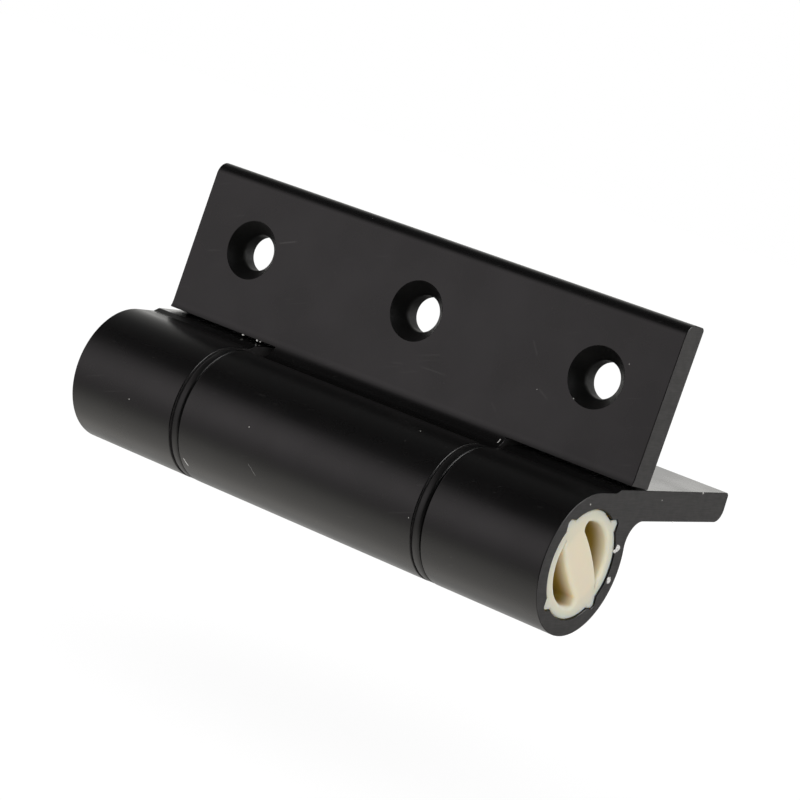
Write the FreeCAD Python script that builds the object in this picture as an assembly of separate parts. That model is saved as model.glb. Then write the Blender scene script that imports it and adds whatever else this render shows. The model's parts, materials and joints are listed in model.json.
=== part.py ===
import FreeCAD, Part
import math
import os

# Spring hinge: two leaves cut from one aluminium extrusion, two keyed pivot plugs,
# two flanged bushes, and two torsion springs that meet at an anchor in the middle.
# Sizes are in millimetres and degrees. The shapes are made about the hinge axis, which lies along X,
# and are then moved so that the origin is the frame leaf's middle screw hole, on its mounting face.

# Leaf extrusion, seen along the hinge axis
hinge_length = 100.0
door_end_inset = 0.2
knuckle_radius = 11.85
knuckle_wall = 2.7
leaf_thickness = 5.2
leaf_reach = 41.05
mounting_step = 0.57
step_start = 4.3
step_width = 1.3
root_fillet_radius = 3.7
screw_side_edge_radius = 2.3
mounting_side_edge_radius = 0.7

# Four keyways along the bore, and the keys that sit in them
keyway_count = 4
keyway_first_angle = 45.0
keyway_depth = 1.0
keyway_mouth_width = 2.7
keyway_floor_width = 0.9
key_flank_clearance = 0.06
press_clearance = 0.03

# Cut-outs that let the two leaves interlock, and stop the swing
door_knuckle_length = 50.0
relief_clearance = 2.05
stop_gap = 0.15

# Countersunk screw holes, in a row on each leaf, as far from its free edge as from its ends
screw_count = 3
screw_margin = 13.05
screw_hole_radius = 3.15
countersink_radius = 5.2
countersink_angle = 82.0

# Flanged bush, keyed in each end of the door knuckle
flange_inset = 0.05
flange_thickness = 1.85
flange_gap = 0.25
bush_wall = 1.8
bush_sleeve_length = 12.0

# Pivot plug, keyed in each frame knuckle, with a journal that runs in the bush
running_clearance = 0.06
plug_recess = 0.2
plug_head_length = 11.3
plug_shoulder_setback = 0.1
plug_journal_depth = 11.5
plug_wall = 1.6
pocket_rim = 1.82
pocket_depth = 9.6
pocket_corner_radius = 0.9
web_thickness = 5.8
web_side_radius = 33.3
web_normal_angle = 44.0
gate_flat_depth = 0.25
gate_flat_angle = 61.0
gate_flat_width = 2.4
gate_flat_length = 2.0

# Torsion springs, and the anchor that joins them to the door leaf
wire_diameter = 1.6
coil_clearance = 0.4
spring_end_gap = 0.2
spring_leg_length = 5.0
spring_leg_inset = 0.05
leg_slot_clearance = 0.06
leg_slot_extra_depth = 0.5
anchor_length = 13.0

# Sizes that follow from those above
bore_radius = knuckle_radius - knuckle_wall
keyway_radius = bore_radius + keyway_depth
pressed_radius = bore_radius - press_clearance
bush_bore_radius = pressed_radius - bush_wall
journal_radius = bush_bore_radius - running_clearance
plug_bore_radius = journal_radius - plug_wall
coil_radius = plug_bore_radius - coil_clearance - wire_diameter / 2.0
mounting_face = knuckle_radius + mounting_step
screw_face = mounting_face - leaf_thickness
relief_reach = knuckle_radius + relief_clearance
frame_knuckle_spacing = door_knuckle_length + 2.0 * (flange_thickness + flange_gap)
screw_row = leaf_reach - screw_margin
plug_face = hinge_length / 2.0 - plug_recess
plug_head_end = plug_face - plug_head_length
spring_leg_angle = web_normal_angle + 90.0

# The swing stops where the cut edge of each leaf reaches the other's mounting face.
corner_reach = math.hypot(relief_reach, mounting_face)
corner_angle = math.degrees(math.atan2(mounting_face, relief_reach))
rest_angle = corner_angle + math.degrees(math.asin((mounting_face + stop_gap) / corner_reach))

# How far a cutting shape runs past what it cuts
overcut = 1.0

X_AXIS = FreeCAD.Vector(1, 0, 0)
Z_AXIS = FreeCAD.Vector(0, 0, 1)
CENTRE = FreeCAD.Vector(0, 0, 0)


def point(y, z, x=0.0):
    return FreeCAD.Vector(x, y, z)


def polar(radius, angle, middle=CENTRE):
    turn = math.radians(angle)
    return middle + point(radius * math.cos(turn), radius * math.sin(turn))


def bar(radius, start, end, middle=CENTRE):
    return Part.makeCylinder(radius, end - start, point(middle.y, middle.z, start), X_AXIS)


def arc(middle, radius, first_angle, last_angle):
    mean_angle = (first_angle + last_angle) / 2.0
    ends = [polar(radius, angle, middle) for angle in (first_angle, mean_angle, last_angle)]
    return Part.Arc(*ends).toShape()


def leaf_profile():
    # The root fillet touches both the ring and the leaf's screw face.
    fillet_z = screw_face - root_fillet_radius
    fillet_y = math.sqrt((knuckle_radius + root_fillet_radius) ** 2 - fillet_z ** 2)
    fillet_middle = point(fillet_y, fillet_z)
    fillet_angle = math.degrees(math.atan2(fillet_z, fillet_y))
    upper = mounting_side_edge_radius
    lower = screw_side_edge_radius
    upper_middle = point(leaf_reach - upper, mounting_face - upper)
    lower_middle = point(leaf_reach - lower, screw_face + lower)
    step_foot = point(step_start, knuckle_radius)
    step_head = point(step_start + step_width, mounting_face)
    edges = [
        Part.makeLine(point(0, knuckle_radius), step_foot),
        Part.makeLine(step_foot, step_head),
        Part.makeLine(step_head, polar(upper, 90.0, upper_middle)),
        arc(upper_middle, upper, 90.0, 0.0),
        Part.makeLine(polar(upper, 0.0, upper_middle), polar(lower, 0.0, lower_middle)),
        arc(lower_middle, lower, 0.0, -90.0),
        Part.makeLine(polar(lower, -90.0, lower_middle), polar(root_fillet_radius, 90.0, fillet_middle)),
        arc(fillet_middle, root_fillet_radius, 90.0, 180.0 + fillet_angle),
        arc(CENTRE, knuckle_radius, fillet_angle, -270.0),
    ]
    return Part.Face(Part.Wire(edges))


def keyed_bar(radius, start, end, flank_clearance):
    # A round bar with a tapered key at each keyway angle.
    shape = bar(radius, start, end)
    root = radius - keyway_depth
    mouth = keyway_mouth_width / 2.0 - flank_clearance
    tip = keyway_floor_width / 2.0 - flank_clearance
    outline = [(root, -mouth), (radius, -mouth), (keyway_radius, -tip)]
    outline += [(y, -z) for y, z in reversed(outline)]
    corners = [point(y, z, start) for y, z in outline]
    for number in range(keyway_count):
        key = Part.Face(Part.makePolygon(corners + corners[:1])).extrude(X_AXIS * (end - start))
        key.rotate(CENTRE, X_AXIS, keyway_first_angle + number * 360.0 / keyway_count)
        shape = shape.fuse(key)
    return shape.removeSplitter()


def screw_hole(x):
    slope = math.tan(math.radians(countersink_angle / 2.0))
    sink_depth = (countersink_radius - screw_hole_radius) / slope
    below = point(screw_row, screw_face - overcut, x)
    sink_mouth = countersink_radius + overcut * slope
    sink = Part.makeCone(sink_mouth, screw_hole_radius, sink_depth + overcut, below, Z_AXIS)
    hole = Part.makeCylinder(screw_hole_radius, leaf_thickness + 2.0 * overcut, below, Z_AXIS)
    return sink.fuse(hole)


def leaf_blank(length):
    # The extrusion cut to length, with its keyed bore and its screw holes.
    profile = leaf_profile()
    profile.translate(X_AXIS * (-length / 2.0))
    blank = profile.extrude(X_AXIS * length)
    bore_end = length / 2.0 + overcut
    blank = blank.cut(keyed_bar(bore_radius, -bore_end, bore_end, 0.0))
    first_screw = screw_margin - hinge_length / 2.0
    screw_pitch = (hinge_length - 2.0 * screw_margin) / (screw_count - 1)
    for number in range(screw_count):
        blank = blank.cut(screw_hole(first_screw + number * screw_pitch))
    return blank


def relief(start, end):
    low = -knuckle_radius - overcut
    high = mounting_face + overcut
    return Part.makeBox(end - start, relief_reach - low, high - low, point(low, low, start))


def frame_leaf():
    half = frame_knuckle_spacing / 2.0
    return leaf_blank(hinge_length).cut(relief(-half, half))


def swing_to_rest(shape):
    shape.rotate(CENTRE, X_AXIS, rest_angle)
    return shape


def door_leaf():
    # The same extrusion turned over, so that the two mounting faces meet when the hinge lies flat.
    length = hinge_length - 2.0 * door_end_inset
    shoulder = door_knuckle_length / 2.0
    end = hinge_length / 2.0 + overcut
    blank = leaf_blank(length).cut(relief(shoulder, end)).cut(relief(-end, -shoulder))
    return swing_to_rest(blank.mirror(CENTRE, Z_AXIS))


def right_bush():
    seat = door_knuckle_length / 2.0
    face = seat + flange_thickness
    inner_end = seat - bush_sleeve_length
    flange = bar(knuckle_radius - flange_inset, seat, face)
    sleeve = keyed_bar(pressed_radius, inner_end, seat, key_flank_clearance)
    shape = flange.fuse(sleeve).removeSplitter()
    shape = shape.cut(bar(bush_bore_radius, inner_end - overcut, face + overcut))
    return swing_to_rest(shape)


def left_bush():
    return right_bush().mirror(CENTRE, X_AXIS)


def runs_along_axis(edge):
    if len(edge.Vertexes) < 2:
        return False
    span = edge.Vertexes[1].Point - edge.Vertexes[0].Point
    return abs(span.x) > math.hypot(span.y, span.z)


def is_on_circle(edge, radius, middle):
    spot = edge.Vertexes[0].Point - middle
    return abs(math.hypot(spot.y, spot.z) - radius) < 0.001


def teardrop_pocket():
    # One of the two pockets beside the web: a round cup cut off by the bowed side of the web.
    floor = plug_face - pocket_depth
    mouth = plug_face + overcut
    bow = polar(web_thickness / 2.0 - web_side_radius, web_normal_angle)
    cup = bar(pressed_radius - pocket_rim, floor, mouth)
    pocket = cup.cut(bar(web_side_radius, floor - overcut, mouth + overcut, bow)).Solids[0]
    upright_edges = [edge for edge in pocket.Edges if runs_along_axis(edge)]
    corners = [edge for edge in upright_edges if is_on_circle(edge, web_side_radius, bow)]
    wide_end = max(corners, key=lambda edge: edge.Vertexes[0].Point.z)
    return pocket.makeFillet(pocket_corner_radius, [wide_end])


def gate_flat():
    reach = pressed_radius - gate_flat_depth
    corner = point(reach, -gate_flat_width / 2.0, plug_face - gate_flat_length)
    block = Part.makeBox(gate_flat_length + overcut, keyway_radius, gate_flat_width, corner)
    block.rotate(CENTRE, X_AXIS, gate_flat_angle)
    return block


def leg_slot(start, end):
    # A slot across the axis, which catches a spring's leg.
    width = wire_diameter + 2.0 * leg_slot_clearance
    reach = coil_radius + width / 2.0
    slot = Part.makeBox(end - start, 2.0 * reach, width, point(-reach, -width / 2.0, start))
    slot.rotate(CENTRE, X_AXIS, spring_leg_angle)
    return slot


def right_plug():
    shoulder = frame_knuckle_spacing / 2.0 + plug_shoulder_setback
    tip = door_knuckle_length / 2.0 - plug_journal_depth
    shape = keyed_bar(pressed_radius, shoulder, plug_face, key_flank_clearance)
    shape = shape.fuse(bar(journal_radius, tip, shoulder)).removeSplitter()
    shape = shape.cut(bar(plug_bore_radius, tip - overcut, plug_head_end))
    pocket = teardrop_pocket()
    shape = shape.cut(pocket)
    pocket.rotate(CENTRE, X_AXIS, 180.0)
    shape = shape.cut(pocket).cut(gate_flat())
    slot_end = plug_head_end + spring_leg_length + leg_slot_extra_depth
    return shape.cut(leg_slot(plug_head_end - overcut, slot_end))


def turn_end_for_end(shape):
    shape.rotate(CENTRE, Z_AXIS, 180.0)
    return shape


def left_plug():
    return turn_end_for_end(right_plug())


def right_spring():
    # The close-wound coils are drawn as the plain sleeve that they fill. Each end is bent along the axis
    # into a leg, a little thinner than the sleeve so that its side stays inside the sleeve's wall.
    outer = plug_head_end - spring_end_gap
    inner = anchor_length / 2.0 + spring_end_gap
    half_wire = wire_diameter / 2.0
    coils = bar(coil_radius + half_wire, inner, outer)
    coils = coils.cut(bar(coil_radius - half_wire, inner - overcut, outer + overcut))
    leg = polar(coil_radius, spring_leg_angle)
    leg_radius = half_wire - spring_leg_inset
    reach = spring_end_gap + spring_leg_length
    outer_leg = bar(leg_radius, outer - half_wire, outer + reach, leg)
    inner_leg = bar(leg_radius, inner - reach, inner + half_wire, leg)
    return coils.fuse([outer_leg, inner_leg]).removeSplitter()


def left_spring():
    return turn_end_for_end(right_spring())


def centre_anchor():
    half = anchor_length / 2.0
    body = swing_to_rest(keyed_bar(pressed_radius, -half, half, key_flank_clearance))
    slot = leg_slot(half - spring_leg_length - leg_slot_extra_depth, half + overcut)
    body = body.cut(slot)
    return body.cut(turn_end_for_end(slot))


pieces = {
    "frame_leaf": frame_leaf,
    "door_leaf": door_leaf,
    "left_bush": left_bush,
    "right_bush": right_bush,
    "left_plug": left_plug,
    "right_plug": right_plug,
    "left_spring": left_spring,
    "right_spring": right_spring,
    "centre_anchor": centre_anchor,
}

origin = point(screw_row, mounting_face)
os.makedirs("parts", exist_ok=True)
for name, make in pieces.items():
    piece = make()
    piece.translate(-origin)
    piece.exportStep("parts/" + name + ".step")
    print(name, "volume", round(piece.Volume, 1), "solids", len(piece.Solids), "valid", piece.isValid())
print("rest angle", round(rest_angle, 3), "hinge axis at", -origin)
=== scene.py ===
# %% [markdown]
# # A black spring hinge
# The real hinge is two leaves sawn from one black anodised aluminium extrusion. Cream plastic plugs
# in the end knuckles carry the swing, and springs hidden inside pull the upright leaf shut.
# The CAD model already holds every piece at its real size. This lesson loads it as a frame that is
# never moved, and then makes finer meshes and finishes around it, a short cell at a time.

# %% Load the frame
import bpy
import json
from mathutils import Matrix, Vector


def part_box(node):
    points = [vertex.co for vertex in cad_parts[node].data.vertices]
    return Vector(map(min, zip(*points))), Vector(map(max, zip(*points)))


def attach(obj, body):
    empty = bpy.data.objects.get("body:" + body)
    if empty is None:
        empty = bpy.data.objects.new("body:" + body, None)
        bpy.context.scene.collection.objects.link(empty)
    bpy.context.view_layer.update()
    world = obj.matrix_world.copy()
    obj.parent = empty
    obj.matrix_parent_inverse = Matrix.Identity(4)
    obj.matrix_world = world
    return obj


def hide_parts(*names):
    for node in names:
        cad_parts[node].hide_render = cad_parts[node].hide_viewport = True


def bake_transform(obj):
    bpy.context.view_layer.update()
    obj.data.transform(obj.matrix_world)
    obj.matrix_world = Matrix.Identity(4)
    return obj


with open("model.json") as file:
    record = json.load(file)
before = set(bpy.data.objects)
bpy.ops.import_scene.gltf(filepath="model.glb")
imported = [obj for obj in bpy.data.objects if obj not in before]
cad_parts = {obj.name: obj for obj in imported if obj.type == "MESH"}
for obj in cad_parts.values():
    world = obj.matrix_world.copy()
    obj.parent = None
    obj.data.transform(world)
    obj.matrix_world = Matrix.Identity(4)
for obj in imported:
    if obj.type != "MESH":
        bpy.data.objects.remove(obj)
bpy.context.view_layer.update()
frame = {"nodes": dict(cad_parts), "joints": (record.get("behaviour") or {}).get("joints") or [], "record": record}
print("nodes", sorted(frame["nodes"]))

# %% [markdown]
# ## A ruler along the hinge axis
# Every round surface of a hinge is centred on its axis, so sizes are easiest to write in millimetres
# from that line. The frame knows where the axis is: it is the joint's own place. One matrix then
# carries a mesh from this ruler to Blender's metres, and its inverse measures the frame.

# %% Millimetres about the hinge axis
import json
import math
import random

import bmesh
import bpy
from mathutils import Matrix, Quaternion, Vector

MM = 0.001
swing = frame["joints"][0]
hinge_place = Matrix.Translation(swing["pos_m"]) @ Matrix.Scale(MM, 4)


def on_ruler(place):
    return hinge_place.inverted() @ Vector(place)


def ruler_box(node):
    low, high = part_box(node)
    return on_ruler(low), on_ruler(high)


# The CAD box is measured on flat facets, so a hair is taken off what ends in a rounding.
HAIR = 0.004
leaf_low, leaf_high = ruler_box("frame_leaf")
hinge_end = leaf_high.x
knuckle_radius = min(-leaf_low.y, -leaf_low.z)
leaf_reach = leaf_high.y - HAIR
mounting_face = leaf_high.z
door_end = ruler_box("door_leaf")[1].x
print("half length", round(hinge_end, 2), "knuckle radius", round(knuckle_radius, 2))

# %% [markdown]
# ## The camera
# The picture was taken from the right of the knuckle and a little above it, with a long lens, so the
# leaves hardly taper. The hinge leans on its table there, while in this frame its mounting face is
# level, so the camera is rolled by the same lean instead of the hinge.

# %% Camera
CAMERA_SPOT = Vector((261.007, -403.355, 66.423)) * MM
CAMERA_AIM = Vector((3.22, -20.069, -0.007)) * MM
CAMERA_ROLL = math.radians(15.98)
CAMERA_LENS = 125.89
CAMERA_NEAR = 0.01

camera_data = bpy.data.cameras.new("camera")
camera_data.lens = CAMERA_LENS
camera_data.clip_start = CAMERA_NEAR
camera = bpy.data.objects.new("camera", camera_data)
camera.location = CAMERA_SPOT
camera.rotation_mode = "QUATERNION"
towards = (CAMERA_AIM - CAMERA_SPOT).to_track_quat("-Z", "Y")
camera.rotation_quaternion = towards @ Quaternion((0, 0, 1), CAMERA_ROLL)
scene = bpy.context.scene
scene.collection.objects.link(camera)
scene.camera = camera
scene.view_settings.view_transform = "Standard"
print("camera is", round((CAMERA_AIM - CAMERA_SPOT).length, 3), "m from the hinge")

# %% [markdown]
# ## Helpers for node trees
# Shaders and the world are both built from nodes. Adding a node, setting its options and feeding its
# sockets takes three kinds of line, so one small function does all three: a socket given as a value is
# set, and a socket given as another node's output is linked. The others are short names for the nodes
# that are used most.

# %% Node helpers
def add_node(tree, kind, feeds, **options):
    node = tree.nodes.new("ShaderNode" + kind)
    for name, value in options.items():
        setattr(node, name, value)
    for socket, value in feeds.items():
        if isinstance(value, bpy.types.NodeSocket):
            tree.links.new(value, node.inputs[socket])
        else:
            node.inputs[socket].default_value = value
    return node


def calculate(tree, operation, first, second=0.0):
    return add_node(tree, "Math", {0: first, 1: second}, operation=operation).outputs[0]


def vector_maths(tree, operation, first, second=(0.0, 0.0, 0.0)):
    return add_node(tree, "VectorMath", {0: first, 1: second}, operation=operation).outputs


def product(tree, first, *others):
    for other in others:
        first = calculate(tree, "MULTIPLY", first, other)
    return first


def ease(tree, value, low, high, at_low=0.0, at_high=1.0):
    feeds = {"Value": value, "From Min": low, "From Max": high, "To Min": at_low, "To Max": at_high}
    return add_node(tree, "MapRange", feeds, interpolation_type="SMOOTHSTEP").outputs["Result"]


def blend_colours(tree, factor, first, second):
    return add_node(tree, "MixRGB", {"Fac": factor, "Color1": first, "Color2": second}).outputs["Color"]


print("node helpers are ready")

# %% [markdown]
# ## The studio
# A black object is drawn by what it mirrors. In the studio that is a white sheet behind the hinge,
# brightest to the left, a wide soft panel to the front left, and a dark ceiling. Cards and lamps could
# stand round the hinge for that, but a world shader holds the whole room and adds no objects: the height
# of a direction picks a grey, its depth turns that to the white sheet, and the front right of the room
# is dark. One small lamp, high on the right, edges the thin discs with light. The camera sees plain
# white, and matt surfaces get even light.

# %% Room greys
# Each pair is the height of a direction, from straight down (-1) to straight up (1), and its grey.
ROOM_GREYS = (
    (-1.0, 1.0),
    (-0.74, 0.97),
    (-0.6, 0.88),
    (-0.48, 0.66),
    (-0.34, 0.57),
    (-0.16, 0.76),
    (0.0, 1.0),
    (0.17, 1.1),
    (0.33, 0.97),
    (0.47, 0.7),
    (0.57, 0.36),
    (0.65, 0.06),
    (1.0, 0.012),
)
ROOM_TINT = (1.05, 0.98, 1.0)
LOW_TINT = (1.03, 1.0, 0.95)
LOW_END = -0.4


def ramp_place(height):
    # A colour ramp runs from 0 to 1, and a height from -1 to 1.
    return (height + 1.0) / 2.0


def height_greys(tree, height):
    raised = add_node(tree, "MapRange", {"Value": height, "From Min": -1.0}).outputs["Result"]
    ramp = add_node(tree, "ValToRGB", {"Fac": raised})
    stops = ramp.color_ramp.elements
    for place, grey in ROOM_GREYS[1:-1]:
        stops.new(ramp_place(place))
    for stop, (place, grey) in zip(stops, ROOM_GREYS):
        stop.position = ramp_place(place)
        tint = LOW_TINT if place < LOW_END else ROOM_TINT
        stop.color = (*[grey * share for share in tint], 1.0)
    return ramp.outputs["Color"]


print("room has", len(ROOM_GREYS), "greys")

# %% Panel and sheet
# Each span is a stretch of a direction's X, Y or Z over which the light eases from one share to another.
PANEL_LEFT = (-0.75, -0.55)
PANEL_LEFT_FADE = 0.5
PANEL_RIGHT = (-0.6, -0.1)
PANEL_FOOT = (-0.75, -0.45)
SHEET_WHITE = (1.38, 1.366, 1.325, 1.0)
SHEET_FOOT = (-0.4, 0.0)
SHEET_FOOT_SHARES = (0.47, 0.95)
SHEET_CORNER = (-0.63, -0.56)
SHEET_CORNER_SHARES = (0.24, 0.5)
SHEET_MIDDLE = (0.15, 0.45)
SHEET_TOP = (0.45, 0.95)
SHEET_RIGHT = (-0.3, 0.3)
SHEET_RIGHT_SHARE = 0.28


def panel_fade(tree, parts):
    # The soft panel is brightest at its middle, and the floor below it is bright all along.
    left = ease(tree, parts["X"], *PANEL_LEFT, PANEL_LEFT_FADE, 0.0)
    right = ease(tree, parts["X"], *PANEL_RIGHT)
    raised = ease(tree, parts["Z"], *PANEL_FOOT)
    return product(tree, calculate(tree, "MAXIMUM", left, right), raised)


def sheet_share(tree, parts):
    # How bright the sheet behind is: it fades upwards, and to the right.
    low = ease(tree, parts["Z"], *SHEET_FOOT, *SHEET_FOOT_SHARES)
    corner = ease(tree, parts["X"], *SHEET_CORNER, *SHEET_CORNER_SHARES)
    middle = ease(tree, parts["Z"], *SHEET_MIDDLE, 1.0, corner)
    high = ease(tree, parts["Z"], *SHEET_TOP, 1.0, 0.0)
    right = ease(tree, parts["X"], *SHEET_RIGHT, 1.0, SHEET_RIGHT_SHARE)
    return product(tree, low, middle, high, right)


print("sheet has the white", SHEET_WHITE[:3])

# %% Room
ROOM_DARK = (0.01, 0.01, 0.01, 1.0)
FRONT_DEPTH = (0.1, 0.45)
HIGH_GREY = (0.07, 0.07, 0.07, 1.0)
HIGH_FROM = (0.5, 0.7)
HIGH_DEPTH = (-0.15, 0.3)
SHEET_DEPTH = (0.2, 0.5)
SIDE_LAMP_TOWARDS = Vector((0.76, 0.26, 0.6)).normalized()
SIDE_LAMP_WHITE = (7.5, 7.5, 7.5, 1.0)
SIDE_LAMP_EDGE = (0.91, 0.98)


def room_colour(tree):
    direction = add_node(tree, "TexCoord", {}).outputs["Generated"]
    parts = add_node(tree, "SeparateXYZ", {0: direction}).outputs
    front = ease(tree, parts["Y"], *FRONT_DEPTH, 1.0, 0.0)
    dark_side = product(tree, panel_fade(tree, parts), front)
    room = blend_colours(tree, dark_side, height_greys(tree, parts["Z"]), ROOM_DARK)
    above = product(tree, ease(tree, parts["Z"], *HIGH_FROM), ease(tree, parts["Y"], *HIGH_DEPTH))
    room = blend_colours(tree, above, room, HIGH_GREY)
    sheet = blend_colours(tree, sheet_share(tree, parts), ROOM_DARK, SHEET_WHITE)
    room = blend_colours(tree, ease(tree, parts["Y"], *SHEET_DEPTH), room, sheet)
    facing = vector_maths(tree, "DOT_PRODUCT", direction, SIDE_LAMP_TOWARDS)["Value"]
    return blend_colours(tree, ease(tree, facing, *SIDE_LAMP_EDGE), room, SIDE_LAMP_WHITE)


print("side lamp towards", [round(part, 2) for part in SIDE_LAMP_TOWARDS])

# %% World
WHITE = (1.0, 1.0, 1.0, 1.0)
DAYLIGHT = 0.88


def seen_directly(tree):
    path = add_node(tree, "LightPath", {})
    return calculate(tree, "ADD", path.outputs["Is Camera Ray"], path.outputs["Is Transmission Ray"])


def is_mirrored(tree):
    return add_node(tree, "LightPath", {}).outputs["Is Glossy Ray"]


def mix_shaders(tree, factor, first, second):
    return add_node(tree, "MixShader", {0: factor, 1: first.outputs[0], 2: second.outputs[0]})


def make_world():
    world = bpy.data.worlds.new("studio")
    world.use_nodes = True
    tree = world.node_tree
    tree.nodes.clear()
    mirrored = add_node(tree, "Background", {"Color": room_colour(tree)})
    daylight = add_node(tree, "Background", {"Color": WHITE, "Strength": DAYLIGHT})
    backdrop = add_node(tree, "Background", {"Color": WHITE})
    around = mix_shaders(tree, is_mirrored(tree), daylight, mirrored)
    whole = mix_shaders(tree, seen_directly(tree), around, backdrop)
    add_node(tree, "OutputWorld", {"Surface": whole.outputs[0]})
    return world


scene.world = make_world()
print("world has", len(scene.world.node_tree.nodes), "nodes")

# %% [markdown]
# ## Floor and lamp
# The floor lies low enough for the leaf to swing right round without touching it. To the camera it
# glows white and still takes a little shadow. To mirrored rays it is clear, so that they see the
# white sheet of the studio. One wide lamp from the front gives the plug's pockets their depth. The
# world already holds all that the black parts mirror, so the lamp is kept out of reflections.

# %% Floor
FLOOR_DROP = 46.0
FLOOR_SIZE = 3.0
FLOOR_GLOW = 0.85
FLOOR_WHITE = (0.8, 0.8, 0.8, 1.0)
FLOOR_SHADE = (0.2, 0.2, 0.2, 1.0)


def floor_material():
    material = bpy.data.materials.new("white_floor")
    material.use_nodes = True
    tree = material.node_tree
    tree.nodes.clear()
    matt = add_node(tree, "BsdfDiffuse", {"Color": FLOOR_WHITE})
    soft = add_node(tree, "BsdfDiffuse", {"Color": FLOOR_SHADE})
    glow = add_node(tree, "Emission", {"Strength": FLOOR_GLOW})
    white = add_node(tree, "AddShader", {0: glow.outputs[0], 1: soft.outputs[0]})
    seen = mix_shaders(tree, seen_directly(tree), matt, white)
    clear = add_node(tree, "BsdfTransparent", {})
    whole = mix_shaders(tree, is_mirrored(tree), seen, clear)
    add_node(tree, "OutputMaterial", {"Surface": whole.outputs[0]})
    return material


def make_floor():
    mesh = bpy.data.meshes.new("floor")
    half = FLOOR_SIZE / 2.0
    corners = [(-half, -half, 0), (half, -half, 0), (half, half, 0), (-half, half, 0)]
    mesh.from_pydata(corners, [], [(0, 1, 2, 3)])
    mesh.materials.append(floor_material())
    floor = bpy.data.objects.new("floor", mesh)
    floor.location.z = (hinge_place @ Vector((0, 0, -FLOOR_DROP))).z
    scene.collection.objects.link(floor)
    return floor


print("floor at", round(make_floor().location.z, 4), "m")

# %% Lamp
LAMP_SPOT = Vector((0.34, -0.7, 0.08))
LAMP_SIZE = 0.5
LAMP_POWER = 2.0

lamp_data = bpy.data.lights.new("soft_lamp", "AREA")
lamp_data.size = LAMP_SIZE
lamp_data.energy = LAMP_POWER
lamp = bpy.data.objects.new("soft_lamp", lamp_data)
lamp.location = LAMP_SPOT
lamp.visible_glossy = False
lamp.rotation_mode = "QUATERNION"
lamp.rotation_quaternion = (CAMERA_AIM - LAMP_SPOT).to_track_quat("-Z", "Y")
scene.collection.objects.link(lamp)
print("lamp of", LAMP_POWER, "W")

# %% [markdown]
# ## Patterns shared by the finishes
# Finishes are made of a few patterns: soft noise for blotches, noise stretched along one way for lines,
# and scattered dots for dust. All read the object's own coordinates in millimetres, so they have a
# real scale and stay with the piece when the leaf swings.

# %% Pattern helpers
DOT_RARITY = 7.0
DOT_EDGE = 0.04
# Blender's noise hardly leaves this span.
NOISE_SPAN = (0.3, 0.7)


def stretch(tree, place, factors):
    return vector_maths(tree, "MULTIPLY", place, factors)["Vector"]


def millimetres(tree):
    # The place on the ruler, in millimetres about the hinge axis.
    place = add_node(tree, "TexCoord", {}).outputs["Object"]
    scaled = stretch(tree, place, (1.0 / MM, 1.0 / MM, 1.0 / MM))
    return vector_maths(tree, "ADD", scaled, tuple(on_ruler((0, 0, 0))))["Vector"]


def axis_distance(tree, place):
    return vector_maths(tree, "LENGTH", stretch(tree, place, (0.0, 1.0, 1.0)))["Value"]


def noise(tree, place, per_mm=1.0, detail=2.0):
    feeds = {"Vector": place, "Scale": per_mm, "Detail": detail}
    return add_node(tree, "TexNoise", feeds).outputs["Fac"]


def dots(tree, place, per_mm, largest):
    # Each cell has one dot, of a random size up to the largest, in millimetres. Most are tiny.
    cells = add_node(tree, "TexVoronoi", {"Vector": place, "Scale": per_mm})
    chance = add_node(tree, "SeparateColor", {0: cells.outputs["Color"]}).outputs[0]
    radius = product(tree, calculate(tree, "POWER", chance, DOT_RARITY), largest * per_mm)
    inside = calculate(tree, "SUBTRACT", radius, cells.outputs["Distance"])
    return ease(tree, inside, 0.0, DOT_EDGE * per_mm)


def bumps(tree, height, depth_mm, strength):
    feeds = {"Height": height, "Distance": depth_mm * MM, "Strength": strength}
    return add_node(tree, "Bump", feeds).outputs["Normal"]


print("the origin is at", [round(part, 2) for part in on_ruler((0, 0, 0))], "mm on the ruler")

# %% Finish helpers
def new_finish(name):
    material = bpy.data.materials.new(name)
    material.use_nodes = True
    tree = material.node_tree
    tree.nodes.clear()
    shader = add_node(tree, "BsdfPrincipled", {})
    add_node(tree, "OutputMaterial", {"Surface": shader.outputs[0]})
    return material, tree, shader


def set_finish(tree, shader, **feeds):
    # A feed has the name of the shader's socket, in small letters.
    for name, value in feeds.items():
        socket = shader.inputs[name.replace("_", " ").title()]
        if isinstance(value, bpy.types.NodeSocket):
            tree.links.new(value, socket)
        else:
            socket.default_value = value


print("finish helpers are ready")

# %% [markdown]
# ## Dust and scratches
# A black hinge shows every speck. Fine dust lies all over it, so that is a scatter of dots. A few larger
# specks and thin scratches are set one by one where the real hinge has them: a speck is a soft ball
# about a place, and a scratch is all that lies close to a line between two places. They could be painted
# on a picture, but places on the ruler stay sharp from near by and need no unwrapping.

# %% Dust and specks
DUST_COLOUR = (0.5, 0.49, 0.46, 1.0)
COARSE_DUST_PER_MM = 0.22
COARSE_DUST_SIZE = 0.2
FINE_DUST_PER_MM = 0.6
FINE_DUST_SIZE = 0.08
FINE_DUST_SHARE = 0.3
# Each speck has its place on the ruler and its radius.
SPECKS = (
    ((-36.8, -11.8, -1.1), 0.13),
    ((-10.9, -11.6, 2.4), 0.12),
    ((16.9, -4.3, 11.0), 0.12),
    ((24.2, -11.8, -1.2), 0.1),
    ((41.9, 10.4, 30.9), 0.08),
    ((27.3, 9.5, 22.0), 0.07),
)


def dust(tree, place):
    coarse = dots(tree, place, COARSE_DUST_PER_MM, COARSE_DUST_SIZE)
    fine = dots(tree, place, FINE_DUST_PER_MM, FINE_DUST_SIZE)
    return calculate(tree, "MAXIMUM", coarse, product(tree, fine, FINE_DUST_SHARE))


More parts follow.
